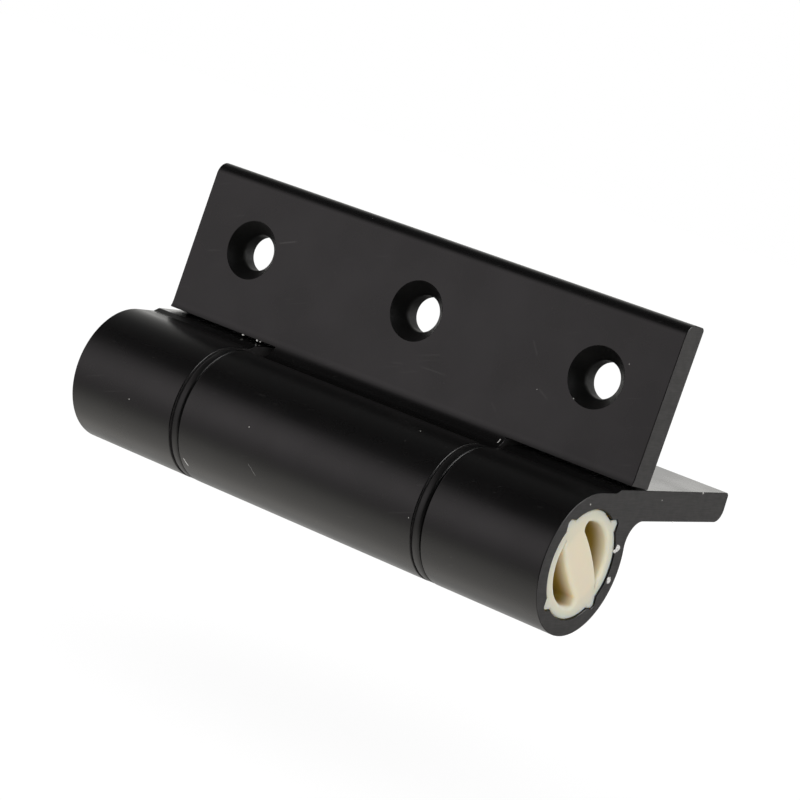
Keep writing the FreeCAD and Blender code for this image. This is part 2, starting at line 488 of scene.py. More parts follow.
def placed_specks(tree, place):
    whole = 0.0
    for spot, radius in SPECKS:
        away = vector_maths(tree, "DISTANCE", place, spot)["Value"]
        whole = calculate(tree, "MAXIMUM", whole, ease(tree, away, radius / 2.0, radius, 1.0, 0.0))
    return whole


print(len(SPECKS), "specks")

# %% Scratches
# Each scratch has its two ends on the ruler, and its share of the colour of dust.
SCRATCHES = (
    (Vector((-32.2, 10.3, 29.7)), Vector((-27.7, 10.4, 31.4)), 0.035),
    (Vector((23.4, 10.25, 29.5)), Vector((25.4, 10.0, 26.9)), 0.02),
    (Vector((27.4, 9.5, 22.3)), Vector((30.1, 9.4, 20.9)), 0.02),
    (Vector((19.8, 9.0, 17.6)), Vector((21.5, 8.9, 16.1)), 0.015),
    (Vector((3.9, 9.15, 18.7)), Vector((10.6, 9.2, 18.9)), 0.02),
    (Vector((-1.6, 9.05, 17.6)), Vector((1.3, 9.1, 18.2)), 0.015),
)
SCRATCH_SIDE = (0.08, 0.2)
STREAK_SLANT = 0.35
STREAK_STRETCH = (0.05, 2.4, 2.4)
STREAK_PEAKS = (0.72, 0.78)
STREAK_SHARE = 0.015


def scratch_line(tree, place, start, end):
    # A thin line from one place on the leaf to another, with soft ends.
    middle = tuple((start + end) / 2.0)
    reach = (end - start).length / 2.0
    way = tuple((end - start).normalized())
    offset = vector_maths(tree, "SUBTRACT", place, middle)["Vector"]
    along = vector_maths(tree, "DOT_PRODUCT", offset, way)["Value"]
    aside = vector_maths(tree, "CROSS_PRODUCT", offset, way)["Vector"]
    distance = vector_maths(tree, "LENGTH", aside)["Value"]
    ends = ease(tree, calculate(tree, "ABSOLUTE", along), reach / 2.0, reach, 1.0, 0.0)
    return product(tree, ends, ease(tree, distance, *SCRATCH_SIDE, 1.0, 0.0))


def placed_scratches(tree, place):
    whole = 0.0
    for start, end, share in SCRATCHES:
        line = product(tree, scratch_line(tree, place, start, end), share)
        whole = calculate(tree, "MAXIMUM", whole, line)
    return whole


def streaks(tree, place):
    # Faint slanted marks of handling, all over.
    feeds = {"Vector": place, "Angle": STREAK_SLANT, "Axis": (0.0, 1.0, 0.0)}
    slanted = add_node(tree, "VectorRotate", feeds).outputs["Vector"]
    lines = noise(tree, stretch(tree, slanted, STREAK_STRETCH), detail=1.0)
    return product(tree, ease(tree, lines, *STREAK_PEAKS), STREAK_SHARE)


print(len(SCRATCHES), "scratches")

# %% [markdown]
# ## Black anodised aluminium
# Anodising leaves a black glassy skin on the metal, so it shades like a dark dielectric and not like
# bare metal. The extrusion die draws fine lines along the leaf, handling leaves dull patches and a
# rubbed top on the knuckle, and the saw leaves the ends rougher and a little paler. The sawn ends are
# also painted paler higher up: painted light, added to their real pale blotches.

# %% Where the black differs
SAWN_FACING = (0.93, 0.99)
RUBBED_MARGIN = (0.1, 0.6)
RUBBED_HEIGHT = (7.5, 10.0)


def sawn_ends(tree):
    normal = add_node(tree, "NewGeometry", {}).outputs["Normal"]
    along = add_node(tree, "SeparateXYZ", {0: normal}).outputs["X"]
    return ease(tree, calculate(tree, "ABSOLUTE", along), *SAWN_FACING)


def height_above(tree, place):
    return add_node(tree, "SeparateXYZ", {0: place}).outputs["Z"]


def knuckle_top(tree, place):
    # The rubbed top of the knuckle, up to where the leaf starts.
    inner, outer = [knuckle_radius + margin for margin in RUBBED_MARGIN]
    near = ease(tree, axis_distance(tree, place), inner, outer, 1.0, 0.0)
    return product(tree, near, ease(tree, height_above(tree, place), *RUBBED_HEIGHT))


print("knuckle is fully rubbed above", RUBBED_HEIGHT[1], "mm")

# %% Black anodised colour
EXTRUDED_BLACK = (0.002, 0.0019, 0.0019, 1.0)
SAWN_BLACK = (0.026, 0.0245, 0.0245, 1.0)
# The paler black of the sawn ends, used for real pale blotches and for painted light higher up.
SAWN_BLOTCH_AND_PAINTED_LIGHT = (0.044, 0.042, 0.041, 1.0)
# Painted light: the heights over which the sawn ends are painted paler, and by how much.
PAINTED_LIGHT_RISE = (10.0, 40.0)
PAINTED_LIGHT_SHARE = 0.35
BLOTCHES_PER_MM = 0.7
BLOTCH_SHARE = 0.65


def anodised_colour(tree, place, sawn):
    # Painted light: paler higher up on the sawn ends.
    upper = ease(tree, height_above(tree, place), *PAINTED_LIGHT_RISE, 0.0, PAINTED_LIGHT_SHARE)
    blotches = noise(tree, place, BLOTCHES_PER_MM, detail=4.0)
    pale = calculate(tree, "ADD", upper, ease(tree, blotches, *NOISE_SPAN, 0.0, BLOTCH_SHARE))
    sawn_colour_with_painted_light = blend_colours(tree, pale, SAWN_BLACK, SAWN_BLOTCH_AND_PAINTED_LIGHT)
    black = blend_colours(tree, sawn, EXTRUDED_BLACK, sawn_colour_with_painted_light)
    scratched = calculate(tree, "ADD", streaks(tree, place), placed_scratches(tree, place))
    worn = blend_colours(tree, scratched, black, DUST_COLOUR)
    dusty = calculate(tree, "MAXIMUM", dust(tree, place), placed_specks(tree, place))
    return blend_colours(tree, dusty, worn, DUST_COLOUR)


print("extruded black", EXTRUDED_BLACK[0], "and sawn black", SAWN_BLACK[0])

# %% Black anodised finish
PATCHES_PER_MM = 0.09
EXTRUDED_ROUGH = (0.23, 0.29)
RUBBED_ROUGH = 0.34
SAWN_ROUGH = (0.38, 0.5)
DIE_STRETCH = (0.015, 4.0, 4.0)
SAW_STRETCH = (1.0, 0.25, 5.0)
GRAIN_PER_MM = 14.0
GRAIN_SHARE = 0.25
LINE_DEPTH = 0.012
LINE_STRENGTH = 0.35


def anodised_roughness(tree, place, sawn, saw_lines):
    patches = noise(tree, place, PATCHES_PER_MM, detail=3.0)
    smooth = ease(tree, patches, *NOISE_SPAN, *EXTRUDED_ROUGH)
    extruded = ease(tree, knuckle_top(tree, place), 0.0, 1.0, smooth, RUBBED_ROUGH)
    return blend_colours(tree, sawn, extruded, ease(tree, saw_lines, *NOISE_SPAN, *SAWN_ROUGH))


def anodised_bumps(tree, place, sawn, saw_lines):
    die_lines = noise(tree, stretch(tree, place, DIE_STRETCH), detail=3.0)
    grain = noise(tree, place, GRAIN_PER_MM, detail=1.0)
    lines = blend_colours(tree, sawn, die_lines, saw_lines)
    height = calculate(tree, "ADD", lines, product(tree, grain, GRAIN_SHARE))
    return bumps(tree, height, LINE_DEPTH, LINE_STRENGTH)


def black_anodised():
    material, tree, shader = new_finish("black_anodised")
    place = millimetres(tree)
    sawn = sawn_ends(tree)
    saw_lines = noise(tree, stretch(tree, place, SAW_STRETCH))
    set_finish(tree, shader, base_color=anodised_colour(tree, place, sawn))
    set_finish(tree, shader, roughness=anodised_roughness(tree, place, sawn, saw_lines))
    set_finish(tree, shader, normal=anodised_bumps(tree, place, sawn, saw_lines))
    return material


anodised_finish = black_anodised()
print("finish", anodised_finish.name)

# %% Drilled finish
DRILLED_BLACK = (0.0015, 0.0014, 0.0013, 1.0)
DRILL_MARKS_PER_MM = 1.5
DRILLED_ROUGH = (0.5, 0.6)
DRILL_MARK_DEPTH = 0.03
DRILL_MARK_STRENGTH = 0.4


def drilled_black():
    # The walls of the drilled holes have the dull skin of a rough cut.
    material, tree, shader = new_finish("drilled_black")
    marks = noise(tree, millimetres(tree), DRILL_MARKS_PER_MM, detail=3.0)
    rough = ease(tree, marks, *NOISE_SPAN, *DRILLED_ROUGH)
    normal = bumps(tree, marks, DRILL_MARK_DEPTH, DRILL_MARK_STRENGTH)
    set_finish(tree, shader, base_color=DRILLED_BLACK, roughness=rough, normal=normal)
    return material


drilled_finish = drilled_black()
print("finish", drilled_finish.name)

# %% [markdown]
# ## Black and cream plastic
# The thin discs beside the centre knuckle are moulded black plastic, a little duller than the leaves.
# The plugs are a cream engineering plastic that lets light sink in: subsurface scattering softens the
# edges of the pockets, and a slow noise moves the cream between a pinkish and a greenish cast. Painted
# shade turns the cream a darker yellow-brown deeper in the pockets.

# %% Black plastic finish
PLASTIC_BLACK = (0.002, 0.002, 0.002, 1.0)
BLACK_GRAIN_PER_MM = 9.0
BLACK_ROUGH = (0.34, 0.42)
MOULD_DEPTH = 0.01
MOULD_STRENGTH = 0.3


def black_plastic():
    material, tree, shader = new_finish("black_plastic")
    place = millimetres(tree)
    grain = noise(tree, place, BLACK_GRAIN_PER_MM)
    colour = blend_colours(tree, dust(tree, place), PLASTIC_BLACK, DUST_COLOUR)
    rough = ease(tree, grain, *NOISE_SPAN, *BLACK_ROUGH)
    normal = bumps(tree, grain, MOULD_DEPTH, MOULD_STRENGTH)
    set_finish(tree, shader, base_color=colour, roughness=rough, normal=normal)
    return material


plastic_finish = black_plastic()
print("finish", plastic_finish.name)

# %% Cream colour
CREAM_WARM = (0.8, 0.71, 0.545, 1.0)
CREAM_COOL = (0.74, 0.68, 0.535, 1.0)
# Painted shade: the colour deep in the pockets.
CREAM_PAINTED_SHADE = (0.4, 0.275, 0.05, 1.0)
CAST_PER_MM = 0.14
CAST_SPAN = (0.4, 1.1)
RIM_RADII = (5.6, 7.6)
RIM_COOLNESS = 0.8
# Painted shade: the depths below the plug face over which the cream darkens.
PAINTED_SHADE_DEPTHS = (0.4, 3.3)
plug_face = ruler_box("right_plug")[1].x


def cream_colour(tree, place):
    # Cooler towards the rim, and painted shade: a darker yellow-brown deeper down in the pockets.
    cast = noise(tree, place, CAST_PER_MM)
    rim = ease(tree, axis_distance(tree, place), *RIM_RADII, 0.0, RIM_COOLNESS)
    cool = ease(tree, calculate(tree, "ADD", cast, rim), *CAST_SPAN)
    along = add_node(tree, "SeparateXYZ", {0: place}).outputs["X"]
    depth = calculate(tree, "SUBTRACT", plug_face, calculate(tree, "ABSOLUTE", along))
    outside = blend_colours(tree, cool, CREAM_WARM, CREAM_COOL)
    return blend_colours(tree, ease(tree, depth, *PAINTED_SHADE_DEPTHS), outside, CREAM_PAINTED_SHADE)


print("plug face at", round(plug_face, 2), "mm")

# %% Cream plastic finish
CREAM_GRAIN_PER_MM = 5.0
CREAM_ROUGH = (0.5, 0.6)
CREAM_SINK = (1.0, 0.75, 0.45)
CREAM_SINK_DEPTH = 0.004


def cream_plastic():
    material, tree, shader = new_finish("cream_plastic")
    place = millimetres(tree)
    grain = noise(tree, place, CREAM_GRAIN_PER_MM, detail=3.0)
    rough = ease(tree, grain, *NOISE_SPAN, *CREAM_ROUGH)
    normal = bumps(tree, grain, MOULD_DEPTH, MOULD_STRENGTH)
    set_finish(tree, shader, base_color=cream_colour(tree, place), roughness=rough, normal=normal)
    set_finish(tree, shader, subsurface_weight=1.0, subsurface_radius=CREAM_SINK)
    set_finish(tree, shader, subsurface_scale=CREAM_SINK_DEPTH)
    return material


cream_finish = cream_plastic()
print("finish", cream_finish.name)

# %% [markdown]
# ## Spring steel
# The springs are drawn wire, bright but with fine draw marks. They are out of sight inside the
# knuckle, so a plain metal with a little noise in its roughness is enough.

# %% Spring steel finish
WIRE_GREY = (0.52, 0.51, 0.49, 1.0)
DRAW_MARKS_PER_MM = 6.0
WIRE_ROUGH = (0.25, 0.4)


def spring_steel():
    material, tree, shader = new_finish("spring_steel")
    marks = noise(tree, millimetres(tree), DRAW_MARKS_PER_MM, detail=3.0)
    rough = ease(tree, marks, *NOISE_SPAN, *WIRE_ROUGH)
    set_finish(tree, shader, base_color=WIRE_GREY, metallic=1.0, roughness=rough)
    return material


steel_finish = spring_steel()
print("finish", steel_finish.name)

# %% [markdown]
# ## From an outline to a solid mesh
# The leaf is an extrusion, and so are the plug's head and the discs: one flat outline pushed along the
# axis. An outline is a list of points, with round stretches as arcs in small steps. Pulling a box into
# shape by hand would lose the sizes, and an outline keeps them. Holes and cut-outs are Boolean
# modifiers, which are applied at once, and a bevel that stays live rounds every sharp edge.

# %% Outlines and slabs
ARC_STEP = 2.0


def arc(middle, radius, first, last, step=ARC_STEP):
    count = max(2, math.ceil(abs(last - first) / step))
    points = []
    for number in range(count + 1):
        angle = math.radians(first + (last - first) * number / count)
        points.append((middle[0] + radius * math.cos(angle), middle[1] + radius * math.sin(angle)))
    return points


def circle(radius):
    return arc((0, 0), radius, 0.0, 360.0)[:-1]


def turned(spot, degrees):
    turn = math.radians(degrees)
    y, z = spot
    return (y * math.cos(turn) - z * math.sin(turn), y * math.sin(turn) + z * math.cos(turn))


def mesh_object(name, work):
    bmesh.ops.recalc_face_normals(work, faces=work.faces)
    mesh = bpy.data.meshes.new(name)
    work.to_mesh(mesh)
    work.free()
    made = bpy.data.objects.new(name, mesh)
    scene.collection.objects.link(made)
    return made


def loft(name, sections):
    # Joins rings of equally many points, and closes the two ends.
    work = bmesh.new()
    rings = [[work.verts.new(spot) for spot in section] for section in sections]
    for lower, upper in zip(rings, rings[1:]):
        for number in range(len(lower)):
            after = (number + 1) % len(lower)
            work.faces.new((lower[number], lower[after], upper[after], upper[number]))
    work.faces.new(rings[0])
    work.faces.new(rings[-1])
    return mesh_object(name, work)


def slab(name, outline, start, end):
    return loft(name, [[(x, y, z) for y, z in outline] for x in (start, end)])


print("a full circle has", len(circle(1.0)), "points")

# %% Cutting and joining
SOLVER = "EXACT"


def apply_modifiers(piece):
    shape = piece.evaluated_get(bpy.context.evaluated_depsgraph_get())
    mesh = bpy.data.meshes.new_from_object(shape)
    piece.modifiers.clear()
    piece.data = mesh


def combine(piece, tools, operation="DIFFERENCE"):
    for tool in tools:
        step = piece.modifiers.new("combine", "BOOLEAN")
        step.operation = operation
        step.solver = SOLVER
        step.object = tool
    apply_modifiers(piece)
    for tool in tools:
        bpy.data.objects.remove(tool)
    return piece


def turn_mesh(piece, matrix):
    piece.data.transform(matrix)
    if matrix.determinant() < 0:
        piece.data.flip_normals()
    return piece


print("cuts use the solver", SOLVER)

# %% Finishing a piece
EDGE_ANGLE = math.radians(19.0)
WIDEST_EDGE = 0.8
EDGE_SEGMENTS = 3


def mark_edges(piece, edge_width):
    # Writes the rounding of each sharp edge as a share of the widest one.
    work = bmesh.new()
    work.from_mesh(piece.data)
    share = work.edges.layers.float.new("bevel_weight_edge")
    for edge in work.edges:
        if edge.calc_face_angle(0.0) > EDGE_ANGLE:
            middle = (edge.verts[0].co + edge.verts[1].co) / 2.0
            edge[share] = edge_width(middle) / WIDEST_EDGE
    work.to_mesh(piece.data)
    work.free()


def soften(piece):
    bevel = piece.modifiers.new("edge", "BEVEL")
    bevel.width = WIDEST_EDGE * MM
    bevel.segments = EDGE_SEGMENTS
    bevel.limit_method = "WEIGHT"
    bevel.use_clamp_overlap = False
    piece.modifiers.new("flat_faces", "WEIGHTED_NORMAL")


def dress(piece, finishes, body, node):
    piece.data.transform(hinge_place)
    piece.data.shade_smooth()
    for finish in finishes:
        piece.data.materials.append(finish)
    soften(piece)
    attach(piece, body)
    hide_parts(node)
    print(piece.name, "has", len(piece.data.polygons), "faces before its edges are rounded")


print("edges over", round(math.degrees(EDGE_ANGLE)), "degrees are rounded")

# %% [markdown]
# ## The leaf's outline
# Seen from its end, a leaf is a ring that runs into a flat plate. The plate's mounting side stands a
# little above the ring behind a small ramp, its screw side meets the ring in a fillet, and its free
# edge is rounded more on the screw side. The bore of the ring has four keyways. A box joined to a tube
# would come close, but the real die has one outline, and drawing it whole keeps reflections smooth.

# %% Leaf outline
leaf_thickness = 5.2
step_start = 4.3
step_width = 1.3
root_fillet = 3.7
screw_side_edge = 2.3
mounting_side_edge = 0.7
bore_radius = knuckle_radius - 2.7
keyway_radius = bore_radius + 1.0
keyway_mouth = 2.7
keyway_floor = 0.9
KEYWAY_ANGLES = (45.0, 135.0, 225.0, 315.0)
screw_face = mounting_face - leaf_thickness


def leaf_outline():
    fillet_z = screw_face - root_fillet
    fillet_y = math.sqrt((knuckle_radius + root_fillet) ** 2 - fillet_z ** 2)
    fillet_angle = math.degrees(math.atan2(fillet_z, fillet_y))
    upper = (leaf_reach - mounting_side_edge, mounting_face - mounting_side_edge)
    lower = (leaf_reach - screw_side_edge, screw_face + screw_side_edge)
    points = [(step_start, knuckle_radius), (step_start + step_width, mounting_face)]
    points += arc(upper, mounting_side_edge, 90.0, 0.0, step=9.0)
    points += arc(lower, screw_side_edge, 0.0, -90.0, step=5.0)
    points += arc((fillet_y, fillet_z), root_fillet, 90.0, 180.0 + fillet_angle, step=4.0)
    points += arc((0, 0), knuckle_radius, fillet_angle, -270.0)[1:]
    return points


def keyed_outline(radius, slack):
    # A circle with a tapered key at each keyway. The slack is taken off each flank.
    mouth = keyway_mouth / 2.0 - slack
    tip = keyway_floor / 2.0 - slack
    root = math.sqrt(radius ** 2 - mouth ** 2)
    half_key = math.degrees(math.atan2(mouth, root))
    key = [(root, -mouth), (radius, -mouth), (keyway_radius, -tip)]
    key += [(y, -z) for y, z in reversed(key)]
    points = []
    for angle in KEYWAY_ANGLES:
        points += [turned(spot, angle) for spot in key]
        points += arc((0, 0), radius, angle + half_key, angle + 90.0 - half_key)[1:-1]
    return points


print("leaf outline has", len(leaf_outline()), "points")

# %% [markdown]
# ## Screw holes
# Each leaf has three countersunk holes in a row. A countersink is a turned shape, so the cutter is a
# stack of circles: wide below the screw face, narrowing evenly, then straight through.

# %% Screw holes
countersink_radius = 5.2
countersink_angle = 82.0
countersink_slope = math.tan(math.radians(countersink_angle / 2.0))
OVERCUT = 1.0
HOLE_STEP = 5.0
FLAT_FACING = 0.9
mounts = {mount["name"]: mount for mount in frame["record"]["mounts"]}
screw_middle = on_ruler(mounts["frame_screws"]["pos_m"])
screw_span = mounts["frame_screws"]["dims"]["spacing_x_mm"]
screw_hole_radius = mounts["frame_screws"]["dims"]["hole_r_mm"]


def screw_cutter(x):
    sink_depth = (countersink_radius - screw_hole_radius) / countersink_slope
    stack = [
        (countersink_radius + OVERCUT * countersink_slope, screw_face - OVERCUT),
        (screw_hole_radius, screw_face + sink_depth),
        (screw_hole_radius, mounting_face + OVERCUT),
    ]
    rings = []
    for radius, z in stack:
        flat = arc((x, screw_middle.y), radius, 0.0, 360.0, HOLE_STEP)[:-1]
        rings.append([(spot[0], spot[1], z) for spot in flat])
    return loft("screw_cutter", rings)


screw_row = [screw_middle.x + side * screw_span / 2.0 for side in (-1, 0, 1)]


def screw_cutters():
    return [screw_cutter(x) for x in screw_row]


def to_screw_axis(spot):
    return min(math.hypot(spot.x - x, spot.y - screw_middle.y) for x in screw_row)


def mark_drilled(piece):
    # The walls of the holes take the second finish of the piece.
    for face in piece.data.polygons:
        in_hole = to_screw_axis(face.center) < countersink_radius
        if in_hole and abs(face.normal.z) < FLAT_FACING:
            face.material_index = 1


print("screw holes", round(screw_span / 2.0, 2), "mm apart")

# %% [markdown]
# ## The two leaves
# The frame leaf keeps its two end knuckles, and the door leaf keeps the middle one: a box-shaped cut
# takes away the rest of the ring. The door leaf is the same extrusion turned over, so its mesh is
# mirrored and then turned about the axis to where the spring holds it.

# %% Leaf edges
relief_reach = knuckle_radius + 1.93
door_knuckle_end = 25.0
frame_knuckle_start = 27.1
LEAF_EDGE = 0.14
SAWN_EDGE = 0.12
KNUCKLE_EDGE = 0.18
HOLE_EDGE = 0.06
BACK_EDGE = 0.12
SINK_EDGE = 0.4
FOOT_EDGE = 0.03
# The leaf ends are sawn a hair short, which leaves room for crumbs inside the CAD box.
SAWN_SHORT = 0.06


def leaf_edge(middle):
    reach = math.hypot(middle.y, middle.z)
    if to_screw_axis(middle) < countersink_radius + HAIR:
        if middle.z > mounting_face - HAIR:
            return BACK_EDGE
        return HOLE_EDGE if middle.z < screw_face + HAIR else SINK_EDGE
    if max(abs(middle.y - relief_reach), abs(middle.z - mounting_face)) < HAIR:
        return FOOT_EDGE
    if reach < keyway_radius + HAIR:
        return LEAF_EDGE
    if abs(middle.x) > door_end - SAWN_SHORT - HAIR:
        return SAWN_EDGE
    if abs(middle.x) > door_knuckle_end - HAIR and reach < knuckle_radius + HAIR:
        return KNUCKLE_EDGE
    return LEAF_EDGE


print("leaf edges are rounded by", FOOT_EDGE, "to", SINK_EDGE, "mm")

# %% Leaves
def leaf_blank(name, end):
    blank = slab(name, leaf_outline(), -end, end)
    far = end + OVERCUT
    bore = slab("bore", keyed_outline(bore_radius, 0.0), -far, far)
    return combine(blank, [bore] + screw_cutters())


def relief_box(start, end):
    low = -knuckle_radius - OVERCUT
    high = mounting_face + OVERCUT
    corners = [(low, low), (relief_reach, low), (relief_reach, high), (low, high)]
    return slab("relief", corners, start, end)


def door_turn():
    normal = mounts["door_screws"]["axis"]
    rest_angle = math.atan2(normal[1], -normal[2])
    return Matrix.Rotation(rest_angle, 4, "X")


TURNED_OVER = Matrix.Scale(-1.0, 4, (0, 0, 1))
leaf_finishes = (anodised_finish, drilled_finish)


def frame_leaf():
    piece = leaf_blank("fine_frame_leaf", hinge_end - SAWN_SHORT)
    combine(piece, [relief_box(-frame_knuckle_start, frame_knuckle_start)])
    mark_edges(piece, leaf_edge)
    mark_drilled(piece)
    dress(piece, leaf_finishes, "frame", "frame_leaf")


def door_leaf():
    piece = leaf_blank("fine_door_leaf", door_end)
    far = door_end + OVERCUT
    combine(piece, [relief_box(door_knuckle_end, far), relief_box(-far, -door_knuckle_end)])
    mark_edges(piece, leaf_edge)
    mark_drilled(piece)
    turn_mesh(piece, door_turn() @ TURNED_OVER)
    dress(piece, leaf_finishes, "door", "door_leaf")


frame_leaf()
door_leaf()

# %% [markdown]
# ## Flanged bushes
# A black bush is pressed into each end of the door knuckle. Only its thin flange shows, as a disc
# between two fine dark lines, but the sleeve behind it is made too, with its keys and its bore. The rim
# is stepped, so the flange is a stack of rings, and a union adds the sleeve. The left bush is a mirror
# image of the right one.

# %% Bushes
bush_low, bush_high = ruler_box("right_bush")
flange_radius = knuckle_radius - 0.05
pressed_radius = bore_radius - 0.03
bush_bore = pressed_radius - 1.8
key_slack = 0.06
seat_radius = 10.6
rim_gap = 0.2
JOIN_OVERLAP = 0.5
FLANGE_EDGE = 0.1
FLANGE_INNER = 0.34
FLANGE_OUTER = 0.5


def flange_edge(middle):
    if math.hypot(middle.y, middle.z) < seat_radius + HAIR:
        return FLANGE_EDGE
    return FLANGE_OUTER if middle.x > bush_high.x - HAIR else FLANGE_INNER


def flange(name):
    # The rim stands a little off the knuckle, which leaves a fine dark line round it.
    steps = [
        (seat_radius, door_knuckle_end),
        (seat_radius, door_knuckle_end + rim_gap),
        (flange_radius, door_knuckle_end + rim_gap),
        (flange_radius, bush_high.x),
    ]
    return loft(name, [[(x, y, z) for y, z in circle(radius)] for radius, x in steps])


def bush(name, node, turn):
    piece = flange(name)
    outline = keyed_outline(pressed_radius, key_slack)
    combine(piece, [slab("sleeve", outline, bush_low.x, door_knuckle_end + JOIN_OVERLAP)], "UNION")
    combine(piece, [slab("bore", circle(bush_bore), bush_low.x - OVERCUT, bush_high.x + OVERCUT)])
    mark_edges(piece, flange_edge)
    turn_mesh(piece, turn @ door_turn())
    dress(piece, [plastic_finish], "door", node)


LEFT_FOR_RIGHT = Matrix.Scale(-1.0, 4, (1, 0, 0))
bush("fine_right_bush", "right_bush", Matrix.Identity(4))
bush("fine_left_bush", "left_bush", LEFT_FOR_RIGHT)

# %% [markdown]
# ## Pivot plugs
# The cream plug is the one bright piece. Its head has four keys, and two teardrop pockets leave a
# bowed web between them. Each pocket is part of a circle cut off by the web's larger circle, with one
# end rounded by a small arc that touches both. Points set by eye would wobble once the edge is rounded,
# and arcs that touch stay smooth. The small flat on the rim is where the plastic entered the mould. A
# hollow journal behind the head runs in the bush.

# %% Plug outline
plug_low, plug_high = ruler_box("right_plug")
pocket_radius = pressed_radius - 2.08
pocket_depth = 9.6
pocket_end_radius = 0.9
web_half = 3.15
web_side_radius = 33.3
web_angle = 44.0


def teardrop():
    web_middle = (web_half - web_side_radius, 0.0)
    lens_y = (pocket_radius ** 2 - web_side_radius ** 2 + web_middle[0] ** 2) / (2.0 * web_middle[0])
    sharp = (lens_y, -math.sqrt(pocket_radius ** 2 - lens_y ** 2))
    near = pocket_radius - pocket_end_radius
    far = web_side_radius + pocket_end_radius
    end_y = (near ** 2 - far ** 2 + web_middle[0] ** 2) / (2.0 * web_middle[0])
    end_z = math.sqrt(near ** 2 - end_y ** 2)
    rim_angle = math.degrees(math.atan2(end_z, end_y))
    web_turn = math.degrees(math.atan2(end_z, end_y - web_middle[0]))
    sharp_angle = math.degrees(math.atan2(sharp[1], sharp[0]))
    sharp_turn = math.degrees(math.atan2(sharp[1], sharp[0] - web_middle[0]))
    points = arc((0, 0), pocket_radius, sharp_angle, rim_angle, step=3.0)
    points += arc((end_y, end_z), pocket_end_radius, rim_angle, 180.0 + web_turn, step=10.0)[1:]
    points += arc(web_middle, web_side_radius, web_turn, sharp_turn, step=1.0)[1:-1]
    return [turned(spot, web_angle) for spot in points]


print("pocket outline has", len(teardrop()), "points")

# %% Plug cutters
plug_head_start = 27.2
plug_head_end = 38.5
journal_radius = bush_bore - 0.06
plug_bore = journal_radius - 1.6
slot_half_width = 0.86
slot_reach = 5.32
slot_depth = 5.5
leg_angle = web_angle + 90.0
gate_flat_reach = pressed_radius - 0.25
gate_flat_angle = 61.0
gate_flat_width = 2.4
gate_flat_length = 2.0
RIM_EDGE = 0.3
POCKET_EDGE = 0.65
PLUG_EDGE = 0.1
# The head stands a hair clear of the bore, which leaves a fine dark line round it.
plug_radius = pressed_radius - 0.08


def plug_edge(middle):
    if middle.x < plug_high.x - HAIR:
        return PLUG_EDGE
    on_rim = math.hypot(middle.y, middle.z) > pocket_radius + HAIR
    return RIM_EDGE if on_rim else POCKET_EDGE


def block(name, low, high, angle, start, end):
    corners = [(low[0], low[1]), (high[0], low[1]), (high[0], high[1]), (low[0], high[1])]
    return slab(name, [turned(spot, angle) for spot in corners], start, end)


def plug_cutters():
    face = plug_high.x
    mouth = face + OVERCUT
    pocket = teardrop()
    opposite = [(-y, -z) for y, z in pocket]
    flat_low = (gate_flat_reach, -gate_flat_width / 2.0)
    flat_high = (knuckle_radius, gate_flat_width / 2.0)
    slot_low = (-slot_reach, -slot_half_width)
    slot_high = (slot_reach, slot_half_width)
    slot_start = plug_head_end - OVERCUT
    return [
        slab("bore", circle(plug_bore), plug_low.x - OVERCUT, plug_head_end),
        slab("pocket", pocket, face - pocket_depth, mouth),
        slab("pocket", opposite, face - pocket_depth, mouth),
        block("gate", flat_low, flat_high, gate_flat_angle, face - gate_flat_length, mouth),
        block("slot", slot_low, slot_high, leg_angle, slot_start, plug_head_end + slot_depth),
    ]


print("plug head is", round(plug_high.x - plug_head_start, 2), "mm long")

# %% Plugs
def plug(name, node, turn):
    piece = slab(name, keyed_outline(plug_radius, key_slack), plug_head_start, plug_high.x)
    journal_end = plug_head_start + JOIN_OVERLAP
    combine(piece, [slab("journal", circle(journal_radius), plug_low.x, journal_end)], "UNION")
    combine(piece, plug_cutters())
    mark_edges(piece, plug_edge)
    turn_mesh(piece, turn)
    dress(piece, [cream_finish], "frame", node)


END_FOR_END = Matrix.Rotation(math.pi, 4, "Z")
plug("fine_right_plug", "right_plug", Matrix.Identity(4))
plug("fine_left_plug", "left_plug", END_FOR_END)

# %% [markdown]
# ## Torsion springs
# A torsion spring is wire wound into close coils, with a leg at each end that catches in a slot. Wound
# on a curve with a round bevel it becomes a tube. Its outer leg stays with the frame and its inner leg
# goes with the door, but here the mesh is made once, at rest, and is attached to neither body.

# %% Wire
WIRE_ROUNDNESS = 2


def wire(name, points, radius):
    curve = bpy.data.curves.new("wire", "CURVE")
    curve.dimensions = "3D"
    curve.bevel_depth = radius
    curve.bevel_resolution = WIRE_ROUNDNESS
    curve.use_fill_caps = True
    line = curve.splines.new("POLY")
    line.points.add(len(points) - 1)
    for spot, place in zip(line.points, points):
        spot.co = (*place, 1.0)
    drawn = bpy.data.objects.new("wire", curve)
    scene.collection.objects.link(drawn)
    shape = drawn.evaluated_get(bpy.context.evaluated_depsgraph_get())
    mesh = bpy.data.meshes.new_from_object(shape)
    bpy.data.objects.remove(drawn)
    mesh.materials.clear()
    piece = bpy.data.objects.new(name, mesh)
    scene.collection.objects.link(piece)
    return piece


print("wire is drawn at bevel resolution", WIRE_ROUNDNESS)

# %% Springs
wire_radius = 0.8
coil_radius = 4.46
coil_pitch = 1.66
coil_inner = 6.7
coil_outer = 38.3
leg_length = 5.2
POINTS_PER_TURN = 40


